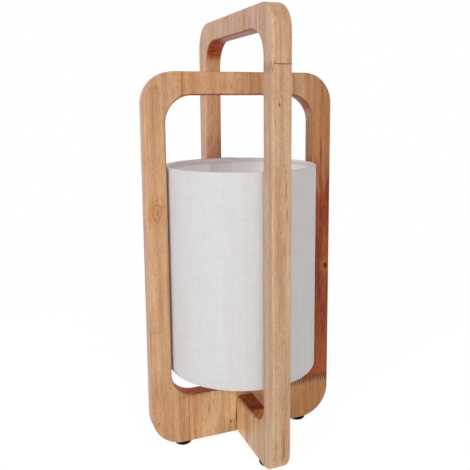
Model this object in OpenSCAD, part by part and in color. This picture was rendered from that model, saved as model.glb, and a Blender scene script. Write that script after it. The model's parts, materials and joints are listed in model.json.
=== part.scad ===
// Lantern table lamp: two wooden frames halved into each other, with a drum shade inside.
// Millimetres, +Z up. The origin is on the table, under the crossing of the two frames.
// The low frame lies in the XZ plane and the tall frame in the YZ plane.

/* [Frames] */
// Outer width of both frames
frame_w = 208; // [190:1:240]
// Height of the tall frame, without its feet
tall_h = 450; // [440:1:560]
// Height of the low frame, without its feet
low_h = 391.5; // [375:0.5:400]
// Thickness of the laminated board
board_t = 19.5; // [18:0.5:22]
// Width of the legs
leg_w = 22; // [18:0.5:26]
// Height of the low frame's base rail
low_base_h = 52; // [48:1:60]
// Height of the tall frame's base rail
tall_base_h = 41.5; // [38:0.5:50]
// Height of the low frame's top rail
low_rail_h = 23.5; // [18:0.5:28]
// Height of the tall frame's top rail
tall_rail_h = 22; // [18:0.5:28]
// Rounding of the wooden arrises
arris_r = 2.5; // [1:0.5:4]

/* [Frame corners] */
// Outer radius of the low frame's top corners
low_top_r = 32; // [20:1:40]
// Outer radius of the low frame's base corners
low_base_r = 34; // [20:1:38]
// Outer radius of the tall frame's top corners
tall_top_r = 28; // [20:1:40]
// Outer radius of the tall frame's base corners
tall_base_r = 23; // [15:1:34]
// Inner radius of the top corners
inner_top_r = 28; // [15:1:34]
// Inner radius of the low frame's base corners
low_inner_r = 27; // [15:1:28]
// Inner radius of the tall frame's base corners
tall_inner_r = 24; // [15:1:28]

/* [Feet] */
// Diameter of a foot where it meets the wood
foot_d = 19; // [14:0.5:19]
// Height of a foot
foot_h = 4; // [3:0.5:8]
// Distance from the low frame's outer side to the middle of a foot
low_foot_inset = 35; // [32:1:45]
// Distance from the tall frame's outer side to the middle of a foot
tall_foot_inset = 32; // [32:1:45]
// Shank diameter of a foot screw
foot_screw_d = 3; // [2.5:0.1:4]
// Length of a foot screw under its head
foot_screw_l = 14; // [10:1:20]

/* [Shade] */
// Gap between the shade and the legs beside it
shade_gap = 2; // [1:0.5:8]
// Height of the shade
shade_h = 216; // [190:1:230]
// Thickness of the linen
cloth_t = 0.6; // [0.4:0.1:1]
// Thickness of the stiff liner
liner_t = 0.5; // [0.3:0.1:0.8]
// Diameter of the ring wires
wire_d = 2.4; // [2.2:0.1:3]
// Diameter of the arms
arm_d = 2; // [1.6:0.1:2]
// Depth of the turned-in hem
hem_h = 11; // [8:1:20]
// Height of the fitter ring's seat above the shade's lower edge
fitter_recess = 4.5; // [4:0.5:20]
// Thickness of the fitter ring
fitter_t = 1.5; // [1:0.1:2]
// Outer diameter of the fitter ring
fitter_d = 54; // [50:1:60]
// Number of arms
arm_count = 3; // [3, 4]

/* [Lamp holder] */
// Diameter of the holder's cap
cap_d = 41; // [40:0.5:44]
// Height of the holder's cap
cap_h = 21; // [20:0.5:26]
// Width of the shoulder that the shade sits on
shoulder_w = 1.95; // [1.5:0.05:4]
// Height of the fluted grip
grip_h = 10; // [8:0.5:16]
// Diameter of the thread that the shade ring runs on
skirt_d = 39.6; // [39:0.1:40.5]
// Height of that thread with its lip
skirt_h = 26.5; // [24:0.5:30]
// Depth of the socket, from its rim to the bulb's contact
socket_depth = 28; // [27.5:0.5:28.5]
// Diameter of the metal screw sleeve's bore
sleeve_d = 27.4; // [27.2:0.1:27.6]
// Outer diameter of the shade ring
shade_ring_d = 57; // [52:1:60]
// Height of the shade ring
shade_ring_h = 8; // [6:0.5:12]

/* [Fixing] */
// Outer diameter of the threaded tube
tube_d = 10; // [9.5:0.1:10.5]
// Bore of the threaded tube
tube_bore = 7.6; // [6:0.1:8]
// Width across the flats of the nut under the crossing
nut_af = 14; // [13:0.1:14]
// Height of that nut
nut_h = 3; // [2:0.5:4]
// Depth of the nut's recess in the underside
recess_h = 13; // [12:0.5:16]
// Diameter of the cover plate under the holder
plate_d = 44; // [40:1:50]
// Thickness of the cover plate
plate_t = 1.5; // [1:0.1:3]
// Width of the cord's groove in the underside
groove_w = 7; // [6:0.5:8]
// Depth of the cord's groove
groove_h = 8.5; // [7:0.5:9]
// Angle of the groove to the tall frame
groove_turn = 30; // [25:1:35]

/* [Bulb] */
// Diameter of the bulb's globe
bulb_d = 60; // [45:1:60]
// Length of the bulb
bulb_l = 105; // [100:1:115]
// Play of the bulb's thread in the screw sleeve, on each side
thread_play = 0.5; // [0.4:0.05:0.7]
// Thickness of the glass
glass_t = 0.8; // [0.6:0.1:1.2]
// Number of filaments
filament_count = 4; // [2:1:6]
// Length of a filament
filament_l = 30; // [20:1:34]

/* [Hidden] */
$fn = 72;

// Clearances
lap_gap = 0.1;       // each side of a board in its notch
slip = 0.03;         // between a shank and the hole that it fills
turn_gap = 0.3;      // between pieces that move past each other
ring_gap = 0.08;     // between the shade ring and its thread
hole_play = 0.25;    // round a tube, a nut or a screw's head
over = 1;            // how far a cutter runs past a face

// Levels
rail_top = foot_h + low_base_h;
tall_rail_top = foot_h + tall_base_h;
lap_z = foot_h + low_base_h / 2;
plate_top = rail_top + plate_t;
cap_top = plate_top + cap_h;
seat_z = cap_top + grip_h;
skirt_top = seat_z + skirt_h;
shade_z0 = seat_z - fitter_recess;
shade_z1 = shade_z0 + shade_h;
tip_z = skirt_top - socket_depth;

// Widths across the lamp
low_foot_place = frame_w / 2 - low_foot_inset;
tall_foot_place = frame_w / 2 - tall_foot_inset;
shade_d = frame_w - 2 * leg_w - 2 * shade_gap;
grip_d = skirt_d + 2 * shoulder_w;

// Points on an arc round c, from angle a0 to a1, in n steps
function arc(c, r, a0, a1, n) =
    [for (i = [0:n]) c + r * [cos(a0 + (a1 - a0) * i / n), sin(a0 + (a1 - a0) * i / n)]];
function turned_over(points, z) = [for (p = points) [p[0], z - p[1]]];
function reversed(points) = [for (i = [len(points) - 1:-1:0]) points[i]];

// ---- Wooden frames ----

// Waste of a rounded corner at the origin, with the wood towards -x and -y
module corner_waste(r) {
    difference() {
        translate([-r, -r]) square(r + over);
        translate([-r, -r]) circle(r);
    }
}

// Upright rectangle on the x axis, with one radius at its top and one at its base
module outline(w, h, r_top, r_base) {
    difference() {
        translate([-w / 2, 0]) square([w, h]);
        for (side = [0, 1]) mirror([side, 0]) {
            translate([w / 2, h]) corner_waste(r_top);
            translate([w / 2, 0]) mirror([0, 1]) corner_waste(r_base);
        }
    }
}

// Waste along a straight arris: it runs from the origin towards -y, with the wood towards -x,
// or towards +x where inside is 1
module straight_arris(length, inside) {
    rotate([90, 0, 0]) linear_extrude(length) mirror([inside, 0]) corner_waste(arris_r);
}

// Waste round a quarter turn of radius r
module curved_arris(r, inside) {
    rotate_extrude(angle = 90) translate([r, 0]) mirror([inside, 0]) corner_waste(arris_r);
}

// Waste all round an outline that lies at z = 0
module arris_ring(w, h, r_top, r_base, inside) {
    translate([w / 2, h - r_top, 0]) straight_arris(h - r_top - r_base, inside);
    translate([r_top - w / 2, h, 0]) rotate(90) straight_arris(w - 2 * r_top, inside);
    translate([-w / 2, r_base, 0]) rotate(180) straight_arris(h - r_top - r_base, inside);
    translate([w / 2 - r_base, 0, 0]) rotate(270) straight_arris(w - 2 * r_base, inside);
    translate([w / 2 - r_top, h - r_top, 0]) curved_arris(r_top, inside);
    translate([r_top - w / 2, h - r_top, 0]) rotate(90) curved_arris(r_top, inside);
    translate([r_base - w / 2, r_base, 0]) rotate(180) curved_arris(r_base, inside);
    translate([w / 2 - r_base, r_base, 0]) rotate(270) curved_arris(r_base, inside);
}

// One closed frame in the XZ plane, standing on its feet, before its joint is cut
module board_frame(h, rail_h, base_h, r_top, r_base, inner_r) {
    open_w = frame_w - 2 * leg_w;
    open_h = h - rail_h - base_h;
    translate([0, 0, foot_h]) rotate([90, 0, 0]) difference() {
        linear_extrude(board_t, center = true) difference() {
            outline(frame_w, h, r_top, r_base);
            translate([0, base_h]) outline(open_w, open_h, inner_top_r, inner_r);
        }
        for (face = [0, 1]) mirror([0, 0, face]) translate([0, 0, board_t / 2]) {
            arris_ring(frame_w, h, r_top, r_base, 0);
            translate([0, base_h, 0]) arris_ring(open_w, open_h, inner_top_r, inner_r, 1);
        }
    }
}

// Pilot holes for the two foot screws of a frame in the XZ plane
module foot_pilots(place) {
    for (side = [-1, 1]) translate([side * place, 0, foot_h - over])
        cylinder(h = foot_screw_l - foot_boss_h + 2 * over, d = foot_screw_d + 2 * slip);
}

// Slot for the other board, as wide as the board with a little play
module board_slot(z0, z1) {
    slot = board_t + 2 * lap_gap;
    translate([-slot / 2, -board_t, z0]) cube([slot, 2 * board_t, z1 - z0]);
}

module tube_hole() {
    translate([0, 0, -over]) cylinder(h = rail_top + 2 * over, r = tube_d / 2 + hole_play);
}

// Tall frame: its lower base rail is notched from above at the crossing, with the nut's recess
// and the cord's groove in its underside
module tall_frame() color("burlywood") {
    recess_r = nut_af / sqrt(3) + hole_play;
    difference() {
        rotate(90) difference() {
            board_frame(tall_h, tall_rail_h, tall_base_h, tall_top_r, tall_base_r, tall_inner_r);
            board_slot(lap_z, tall_rail_top + over);
            foot_pilots(tall_foot_place);
        }
        tube_hole();
        translate([0, 0, foot_h - over]) cylinder(h = recess_h + over, r = recess_r);
        rotate(-groove_turn) translate([-groove_w / 2, 0, foot_h - over])
            cube([groove_w, 2 * board_t, groove_h + over]);
    }
}

// Low frame: its base rail keeps the upper half at the crossing
module low_frame() color("tan") {
    difference() {
        board_frame(low_h, low_rail_h, low_base_h, low_top_r, low_base_r, low_inner_r);
        board_slot(foot_h - over, lap_z);
        foot_pilots(low_foot_place);
        tube_hole();
    }
}

// ---- Feet ----

foot_side = 3;                     // width of the domed side, from above
foot_rim_h = 1;                    // straight edge against the wood
foot_boss_h = 1.2;                 // rubber left above the screw's head
foot_head_r = 3;
foot_head_h = 1.6;
slot_w = 0.6;                      // width of a screw's slot
screw_tip_d = 0.6;

module foot_profile() {
    dome = [for (a = [0:15:90]) [foot_d / 2 - foot_side * (1 - sin(a)),
                                 (foot_h - foot_rim_h) * (1 - cos(a))]];
    polygon(concat(
        [[foot_screw_d / 2 + slip, foot_h], [foot_screw_d / 2 + slip, foot_h - foot_boss_h],
         [foot_head_r + hole_play, foot_h - foot_boss_h], [foot_head_r + hole_play, 0]],
        dome, [[foot_d / 2, foot_h]]));
}

module at_feet() {
    for (side = [-1, 1]) {
        translate([side * low_foot_place, 0, 0]) children();
        translate([0, side * tall_foot_place, 0]) children();
    }
}

module feet() color("#151515") at_feet() rotate_extrude() foot_profile();

module foot_screws() color("silver") at_feet() {
    head_z = foot_h - foot_boss_h;
    translate([0, 0, head_z - foot_head_h]) difference() {
        cylinder(h = foot_head_h, r = foot_head_r);
        for (turn = [0, 90]) rotate(turn) translate([-foot_head_r / 2, -slot_w / 2, -over])
            cube([foot_head_r, slot_w, over + foot_head_h / 2]);
    }
    translate([0, 0, head_z]) cylinder(h = foot_screw_l - foot_screw_d, d = foot_screw_d);
    translate([0, 0, head_z + foot_screw_l - foot_screw_d])
        cylinder(h = foot_screw_d, d1 = foot_screw_d, d2 = screw_tip_d);
}

// ---- Fixing through the crossing ----

washer_h = 1;
washer_d = nut_af + 1.5;
tube_end = 1;                      // thread left below the nut
nut_z = foot_h + recess_h - washer_h - nut_h;
hub_h = 8;                         // threaded hub in the holder's cap

module threaded_tube() color("gold") {
    z0 = nut_z - tube_end;
    translate([0, 0, z0]) difference() {
        cylinder(h = plate_top + hub_h - z0, d = tube_d);
        translate([0, 0, -over]) cylinder(h = plate_top + hub_h - z0 + 2 * over, d = tube_bore);
    }
}

module tube_washer() color("silver") translate([0, 0, nut_z + nut_h]) difference() {
    cylinder(h = washer_h, d = washer_d);
    translate([0, 0, -over]) cylinder(h = washer_h + 2 * over, r = tube_d / 2 + hole_play);
}

module tube_nut() color("gold") translate([0, 0, nut_z]) difference() {
    cylinder(h = nut_h, r = nut_af / sqrt(3), $fn = 6);
    translate([0, 0, -over]) cylinder(h = nut_h + 2 * over, r = tube_d / 2 + slip);
}

// Pressed plate with a rolled edge, which covers the crossing
module cover_plate() color("#202020") translate([0, 0, rail_top]) rotate_extrude() {
    polygon(concat(
        [[tube_d / 2 + hole_play, 0]],
        arc([plate_d / 2 - plate_t, 0], plate_t, 0, 90, 5),
        [[tube_d / 2 + hole_play, plate_t]]));
}

// ---- Lamp holder ----

cap_round = 9;                     // rounding of the cap's lower edge
cap_floor = 3;
hub_r = 8;
sleeve_t = 0.5;
ledge_r = sleeve_d / 2 + sleeve_t + 0.5;           // ring in the skirt that holds the core down
ledge_h = 2.5;
core_r = ledge_r + 0.9;
core_step = 14;                    // height of the step that carries the core
neck_r = core_r + lap_gap + 2.5;   // threaded neck that the skirt screws onto
neck_h = 3.5;
wiring_r = core_r - 2;             // wiring space under the core
lead_hole_r = 1.8;                 // holes for the wires through the core
bowl_r = skirt_d / 2 - 2.6;        // inner face of the skirt's thread
lip_h = 3;
lip_r = skirt_d / 2 - 1.2;
lip_round = 1;

module holder_cap() color("#202020") translate([0, 0, plate_top]) rotate_extrude() polygon(concat(
    [[tube_d / 2 + slip, 0]],
    arc([cap_d / 2 - cap_round, cap_round], cap_round, -90, 0, 8),
    [[cap_d / 2, cap_h], [neck_r, cap_h], [neck_r, cap_h + neck_h], [core_r + lap_gap, cap_h + neck_h],
     [core_r + lap_gap, core_step], [wiring_r, core_step]],
    arc([wiring_r - cap_floor, 2 * cap_floor], cap_floor, 0, -90, 4),
    [[hub_r, cap_floor], [hub_r, hub_h], [tube_d / 2 + slip, hub_h]]));

// Moulded core: it carries the contacts above and the terminals below
module holder_core() color("ivory") translate([0, 0, plate_top + core_step]) difference() {
    core_h = cap_h + neck_h - core_step;
    cylinder(h = core_h, r = core_r);
    // wire holes
    for (side = [-1, 1]) translate([0, side * wiring_r * 2 / 3, -over])
        cylinder(h = core_h + 2 * over, r = lead_hole_r, $fn = 24);
    // seat of the centre contact
    translate([-contact_l - lap_gap, -contact_w / 2 - lap_gap, core_h - contact_t])
        cube([contact_l + 2 * lap_gap, contact_w + 2 * lap_gap, contact_t + over]);
}

block_size = [6, 7, 5];
block_hole_r = 1.2;
head_room = 1.6;                   // between a block and the wall of the wiring space
head_r = 1.7;
head_h = 1.2;
module terminal_blocks() color("gold") for (side = [0, 1]) mirror([side, 0, 0])
    translate([wiring_r - block_size[0] - head_room, -block_size[1] / 2,
               plate_top + core_step - block_size[2]]) difference() {
        cube(block_size);
        translate([block_size[0] / 2, -over, block_size[2] / 2]) rotate([-90, 0, 0])
            cylinder(h = block_size[1] + 2 * over, r = block_hole_r, $fn = 24);
    }

module terminal_screws() color("silver") for (side = [0, 1]) mirror([side, 0, 0])
    translate([wiring_r - head_room, 0, plate_top + core_step - block_size[2] / 2])
        rotate([0, 90, 0]) difference() {
            cylinder(h = head_h, r = head_r, $fn = 32);
            translate([-slot_w / 2, -2 * head_r, head_h / 2]) cube([slot_w, 4 * head_r, over]);
        }

// Bent brass tongue: flat foot on the core, rising to a spring tip under the bulb
contact_t = 0.5;
contact_w = 5;
contact_l = 9;
contact_bend = -3;                 // where the tongue leaves its foot
contact_hook = 1.4;                // radius of the tongue's rolled tip
sleeve_past = 1;
module centre_contact() color("gold") {
    rise = tip_z - turn_gap - (cap_top + neck_h) + contact_t;
    translate([0, contact_w / 2, cap_top + neck_h - contact_t]) rotate([90, 0, 0])
        linear_extrude(contact_w) polygon(concat(
            [[-contact_l, 0], [-contact_l, contact_t], [contact_bend, contact_t]],
            arc([contact_hook, rise - contact_hook], contact_hook, 180, 0, 6),
            arc([contact_hook, rise - contact_hook], contact_hook - contact_t, 0, 180, 6),
            [[contact_bend + contact_t, 0]]));
}

// The sleeve ends a little above the start of the flare of the bulb's cap
module screw_sleeve() color("gold") translate([0, 0, cap_top + neck_h]) difference() {
    sleeve_h = tip_z + flare_z + sleeve_past - cap_top - neck_h;
    cylinder(h = sleeve_h, r = sleeve_d / 2 + sleeve_t);
    translate([0, 0, -over]) cylinder(h = sleeve_h + 2 * over, d = sleeve_d);
}

// Outer skirt: fluted grip, shoulder for the shade, thread and lip
flute_count = 28;
flute_r = 1;
flute_out = 0.4;                   // from the grip's face out to the middle of a flute
module holder_skirt() color("#202020") translate([0, 0, cap_top]) difference() {
    rotate_extrude() polygon(concat(
        [[neck_r + lap_gap, 0], [grip_d / 2, 0], [grip_d / 2, grip_h], [skirt_d / 2, grip_h],
         [skirt_d / 2, grip_h + skirt_h - lip_h], [lip_r, grip_h + skirt_h - lip_h]],
        arc([lip_r - lip_round, grip_h + skirt_h - lip_round], lip_round, 0, 90, 4),
        [[bowl_r, grip_h + skirt_h], [bowl_r, neck_h + lap_gap + ledge_h],
         [ledge_r, neck_h + lap_gap + ledge_h], [ledge_r, neck_h + lap_gap],
         [neck_r + lap_gap, neck_h + lap_gap]]));
    for (i = [0:flute_count - 1]) rotate(i * 360 / flute_count)
        translate([grip_d / 2 + flute_out, 0, -over]) cylinder(h = grip_h, r = flute_r, $fn = 24);
}

// Ring nut that clamps the shade's fitter ring: a notched rim under a threaded collar
rim_h = 3;
rim_round = 1;
collar_t = 3;
collar_taper = 0.4;
notch_count = 18;
notch_r = 2.2;
notch_out = 1.2;                   // from the rim's face out to the middle of a notch
module shade_ring() color("#202020") translate([0, 0, seat_z + fitter_t]) difference() {
    rim_r = shade_ring_d / 2;
    collar_r = skirt_d / 2 + collar_t;
    rotate_extrude() polygon(concat(
        [[skirt_d / 2 + ring_gap, 0], [rim_r, 0]],
        arc([rim_r - rim_round, rim_h], rim_round, 0, 90, 4),
        [[collar_r + collar_taper, rim_h + rim_round], [collar_r, shade_ring_h],
         [skirt_d / 2 + ring_gap, shade_ring_h]]));
    for (i = [0:notch_count - 1]) rotate(i * 360 / notch_count)
        translate([rim_r + notch_out, 0, -over])
            cylinder(h = rim_h + rim_round + 2 * over, r = notch_r, $fn = 24);
}

// ---- Shade ----

shade_r = shade_d / 2;
liner_in = shade_r - cloth_t - liner_t;            // inner face of the liner
wire_r = wire_d / 2;
wire_at = liner_in - wire_r - slip;                // radius of the ring wires
wire_down = cloth_t + slip + wire_r;               // from the shade's edge to a wire's middle
wrap_turn = 110;                                   // how far the linen hugs the wire past its top
tuck_down = wire_down + 2.5 * wire_d;              // where the hem lies on the liner again

// Linen from its face, over the edge and round the wire, to the end of the hem, and back
// along its other side; heights are counted down from the shade's edge
fold_r = wire_r + slip;
function linen_face() = concat(
    arc([shade_r - cloth_t - liner_t / 2, cloth_t + liner_t / 2], cloth_t + liner_t / 2, 0, -90, 4),
    arc([wire_at, wire_down], fold_r + cloth_t, -90, -90 - wrap_turn, 9),
    [[liner_in - cloth_t - slip, tuck_down], [liner_in - cloth_t - slip, hem_h]]);
function linen_back() = concat(
    [[shade_r - cloth_t, cloth_t]],
    arc([wire_at, wire_down], fold_r, -90, -90 - wrap_turn, 9),
    [[liner_in - slip, tuck_down], [liner_in - slip, hem_h]]);

// The lower hem is slit at each arm
module shade_linen() color("#ece9e4") translate([0, 0, shade_z0]) difference() {
    slit_w = arm_d + 2 * turn_gap;
    slit_in = wire_at - fold_r - cloth_t - over;
    rotate_extrude($fn = 144) polygon(concat(
        turned_over(linen_face(), shade_h), reversed(turned_over(linen_back(), shade_h)),
        linen_back(), reversed(linen_face())));
    at_arms() translate([slit_in, -slit_w / 2, wire_down - slit_w / 2])
        cube([liner_in - slit_in, slit_w, hem_h]);
}

module shade_liner() color("white") translate([0, 0, shade_z0 + cloth_t + slip])
    rotate_extrude($fn = 144) translate([liner_in, 0])
        square([liner_t - slip, shade_h - 2 * (cloth_t + slip)]);

module at_arms() {
    for (i = [0:arm_count - 1]) rotate(90 + i * 360 / arm_count) children();
}

module ring_wire() rotate_extrude($fn = 144) translate([wire_at, 0]) circle(wire_r, $fn = 24);

module shade_top_ring() color("white") translate([0, 0, shade_z1 - wire_down]) ring_wire();

// Lower ring, arms and fitter ring, welded into one; the arms start below the shade ring
module shade_carrier() color("white") {
    ring_z = shade_z0 + wire_down;
    fitter_in = skirt_d / 2 + turn_gap;
    arm_in = fitter_d / 2 - arm_d / 2;
    arm_z = seat_z + fitter_t - arm_d / 2 - turn_gap;
    arm_drop = arm_z - ring_z;
    arm_run = wire_at - arm_in;
    translate([0, 0, ring_z]) ring_wire();
    translate([0, 0, seat_z]) difference() {
        cylinder(h = fitter_t, d = fitter_d);
        translate([0, 0, -over]) cylinder(h = fitter_t + 2 * over, r = fitter_in);
    }
    at_arms() translate([arm_in, 0, arm_z]) rotate([0, 90 + atan2(arm_drop, arm_run), 0])
        cylinder(h = norm([arm_run, arm_drop]), d = arm_d, $fn = 24);
}

// ---- Bulb ----

bulb_r = bulb_d / 2;
thread_r = sleeve_d / 2 - thread_play;
glass_neck_r = thread_r + 0.2;
cap_len = 27;                      // from the contact's tip to the cap's rim
cap_lip = 0.5;                     // overlap of the cap's rim on the glass
flare_z = 24;                      // where the cap's rim starts to flare
tail_z = 20;                       // end of the glass inside the cap
tip_r = 4.6;
tip_h = 2;
tip_flat_r = 2;                    // flat at the end of the contact
tip_edge = 0.6;                    // straight edge of the contact against the insulator
insulator_h = 5;
insulator_lip = 1;                 // straight part of the insulator inside the cap
thread_pitch = 3.6;
thread_turns = 4;
thread_depth = 0.6;
cap_wall = 0.4;
cap_r = thread_r - thread_depth;
cap_in = cap_r - cap_wall;
globe_z = tip_z + bulb_l - bulb_r;
neck_rise = 1.5;                   // straight glass above the cap
neck_z = tip_z + cap_len + neck_rise;              // where the flare starts
// Radius of the flare that runs from the neck into the globe
flare_r = (pow(globe_z - neck_z, 2) + pow(glass_neck_r, 2) - pow(bulb_r, 2))
    / (2 * (bulb_r - glass_neck_r));
flare_a = atan2(globe_z - neck_z, glass_neck_r + flare_r);

// Glass from its tail in the cap, past the neck and the flare, over the globe
function bulb_side(inset) = concat(
    [[cap_in - slip - inset, tip_z + tail_z], [cap_in - slip - inset, tip_z + flare_z],
     [glass_neck_r - inset, tip_z + cap_len - cap_lip]],
    arc([glass_neck_r + flare_r, neck_z], flare_r + inset, 180, 180 - flare_a, 10),
    arc([0, globe_z], bulb_r - inset, -flare_a, 90, 18));

module bulb_globe() color("lightcyan", 0.4) rotate_extrude() polygon(concat(
    bulb_side(0), reversed(bulb_side(glass_t))));

// Screw cap: rolled thread under a flared rim
module bulb_cap() color("silver") {
    z0 = tip_z + tip_h + insulator_h;
    wave = [for (i = [0:thread_turns * 8])
        [cap_r + thread_depth * (1 - cos(i * 45)) / 2, z0 + cap_wall + i * thread_pitch / 8]];
    rotate_extrude() polygon(concat(
        [[cap_in, z0], [cap_r, z0]], wave,
        [[cap_r, tip_z + flare_z], [glass_neck_r + cap_wall, tip_z + cap_len],
         [glass_neck_r + slip, tip_z + cap_len],
         [glass_neck_r + slip, tip_z + cap_len - cap_lip], [cap_in, tip_z + flare_z]]));
}

// Glass insulator that closes the cap, with the contact in its middle
module bulb_insulator() color("#101018") translate([0, 0, tip_z + tip_h]) rotate_extrude() {
    edge_r = cap_in - slip;
    top = insulator_h + insulator_lip;
    polygon([[tip_r, 0], [1.3 * tip_r, 0],
             [edge_r - 1.5 * insulator_lip, insulator_h - insulator_lip],
             [edge_r, insulator_h], [edge_r, top], [tip_r, top]]);
}

// Soldered contact
module bulb_tip() color("silver") translate([0, 0, tip_z]) rotate_extrude() {
    top = tip_h + insulator_h + insulator_lip;
    polygon([[0, 0], [tip_flat_r, 0], [tip_r, tip_h - tip_edge], [tip_r - slip, tip_h],
             [tip_r - slip, top], [0, top]]);
}

// Glass mount: a flare that is fused to the glass's tail, drawn up into a pressed rod
stem_l = 58;                       // from the contact's tip to the top of the rod
stem_top = tip_z + stem_l;
stem_r = 2.8;
stem_flare = 8;                    // height of the flare above the glass's tail
pinch_h = 4;                       // height over which the flare narrows to the rod
flare_at = [cap_in - glass_t - 2 * slip, tip_z + tail_z + stem_flare];
flare_in = flare_at[0] - stem_r - glass_t;         // radius of the flare's outer face
module bulb_stem() color("lightcyan", 0.5) rotate_extrude() polygon(concat(
    arc(flare_at, flare_in, -90, -180, 8),
    [[stem_r + glass_t, flare_at[1] + pinch_h], [stem_r, flare_at[1] + 2 * pinch_h],
     [stem_r, stem_top - stem_r], [stem_r / 2, stem_top], [0, stem_top],
     [0, flare_at[1] + pinch_h]],
    arc(flare_at, flare_in + glass_t, -180, -90, 8)));

// Filaments on their lead wires, standing round the mount
fil_r = 0.9;
lead_r = 0.35;
spread = 7;                        // from the bulb's axis to a filament
bead_r = 1.1;
fil_below = 6;                     // how far the filaments reach below the rod's top
lead_rise = 5;
lead_in = 1;                       // from a filament's end to where its wire is welded on
module bulb_filaments() color("orange") {
    z0 = stem_top - fil_below;
    star_z = z0 + filament_l - lead_in;
    lead_run = spread - stem_r;
    for (i = [0:filament_count - 1]) rotate(45 + i * 360 / filament_count) {
        translate([spread, 0, z0]) cylinder(h = filament_l, r = fil_r, $fn = 24);
        translate([stem_r, 0, z0 + lead_in - lead_rise]) rotate([0, atan2(lead_run, lead_rise), 0])
            cylinder(h = norm([lead_run, lead_rise]), r = lead_r, $fn = 16);
        translate([bead_r / 2, 0, star_z]) rotate([0, 90, 0])
            cylinder(h = spread - bead_r / 2, r = lead_r, $fn = 16);
    }
    translate([0, 0, star_z]) sphere(bead_r, $fn = 24);
    translate([0, 0, stem_top]) cylinder(h = star_z - stem_top, r = lead_r, $fn = 16);
}

tall_frame();
low_frame();
feet();
foot_screws();
threaded_tube();
tube_washer();
tube_nut();
cover_plate();
holder_cap();
holder_core();
terminal_blocks();
terminal_screws();
centre_contact();
screw_sleeve();
holder_skirt();
shade_ring();
shade_linen();
shade_liner();
shade_top_ring();
shade_carrier();
bulb_globe();
bulb_cap();
bulb_insulator();
bulb_tip();
bulb_stem();
bulb_filaments();
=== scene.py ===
"""Lantern table lamp: two wooden frames halved into each other, with a linen drum shade inside.
Blender works in metres. Sections, threads and places in the materials are in millimetres, and are
divided by 1000 where they become vertices. +Z is up, +X is the low frame's right end, and the
origin is on the table under the crossing of the two frames."""

import json
import math

import bmesh
import bpy
from mathutils import Matrix, Vector

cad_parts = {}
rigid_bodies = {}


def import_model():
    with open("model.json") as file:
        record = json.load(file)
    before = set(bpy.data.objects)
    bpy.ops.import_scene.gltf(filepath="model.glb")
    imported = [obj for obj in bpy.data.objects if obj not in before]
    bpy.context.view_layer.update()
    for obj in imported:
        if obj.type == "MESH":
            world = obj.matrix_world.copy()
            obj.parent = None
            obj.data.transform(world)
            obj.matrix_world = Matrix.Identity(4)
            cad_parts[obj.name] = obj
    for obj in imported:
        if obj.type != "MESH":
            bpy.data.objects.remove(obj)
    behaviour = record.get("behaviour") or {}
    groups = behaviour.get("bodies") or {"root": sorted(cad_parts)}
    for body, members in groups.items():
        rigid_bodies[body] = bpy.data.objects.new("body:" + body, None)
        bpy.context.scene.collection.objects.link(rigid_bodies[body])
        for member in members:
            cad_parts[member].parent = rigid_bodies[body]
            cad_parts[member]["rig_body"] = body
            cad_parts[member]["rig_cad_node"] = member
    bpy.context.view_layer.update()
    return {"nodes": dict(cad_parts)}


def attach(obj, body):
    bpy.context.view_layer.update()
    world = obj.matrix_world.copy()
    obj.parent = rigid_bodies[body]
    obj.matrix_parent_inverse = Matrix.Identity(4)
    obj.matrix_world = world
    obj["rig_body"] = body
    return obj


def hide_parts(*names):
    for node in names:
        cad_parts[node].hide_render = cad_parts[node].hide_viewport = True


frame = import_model()
bpy.context.scene.view_settings.view_transform = "Standard"
bpy.ops.object.select_all(action="DESELECT")

# ---- Camera ----
# It stands a little above the lamp and to its left, so that the low frame shows its broad face
# and the tall frame its left one. The shift is the photograph's own framing.
camera_place = (-0.2374, -0.5960, 0.3629)
camera_yaw = math.radians(21.48)
camera_pitch = math.radians(8.36)
camera_roll = math.radians(0.48)
focal_px = 608.0
centre_px = (237.6, 193.4)
picture_px = 470.0

camera = bpy.data.objects.new("camera", bpy.data.cameras.new("camera"))
bpy.context.scene.collection.objects.link(camera)
bpy.context.scene.camera = camera
camera.data.sensor_width = 36.0
camera.data.lens = focal_px / picture_px * camera.data.sensor_width
camera.data.shift_x = (picture_px / 2 - centre_px[0]) / picture_px
camera.data.shift_y = (centre_px[1] - picture_px / 2) / picture_px
camera.data.clip_start = 0.01
camera.matrix_world = (
    Matrix.Translation(camera_place)
    @ Matrix.Rotation(-camera_yaw, 4, "Z")
    @ Matrix.Rotation(math.pi / 2 - camera_pitch, 4, "X")
    @ Matrix.Rotation(-camera_roll, 4, "Z"))


# ---- Light, floor and backdrop ----
# A wide softbox at the left, one above, weaker ones in front and at the right, and an even white
# room. The room and the floor look white behind the lamp and in its glass, and light it weakly.
# The floor keeps a faint shadow near the lamp.
def add(tree, kind, *inputs, **settings):
    """Adds a shader node; an input is a socket with its value or with another node's output"""
    made = tree.nodes.new("ShaderNode" + kind)
    for key, value in settings.items():
        setattr(made, key, value)
    for key, value in inputs:
        if isinstance(value, bpy.types.NodeSocket):
            tree.links.new(value, made.inputs[key])
        else:
            made.inputs[key].default_value = value
    return made


def calc(tree, what, *values):
    """A Math node's output"""
    return add(tree, "Math", *enumerate(values), operation=what).outputs[0]


def seen_or_lit(tree, seen, lit):
    """The shader seen for what the camera, gloss and glass show, and the shader lit for light"""
    rays = add(tree, "LightPath").outputs
    looking = calc(tree, "MAXIMUM", rays["Is Camera Ray"], rays["Is Glossy Ray"])
    looking = calc(tree, "MAXIMUM", looking, rays["Is Transmission Ray"])
    return add(tree, "MixShader", (0, looking), (1, lit), (2, seen)).outputs[0]


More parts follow.
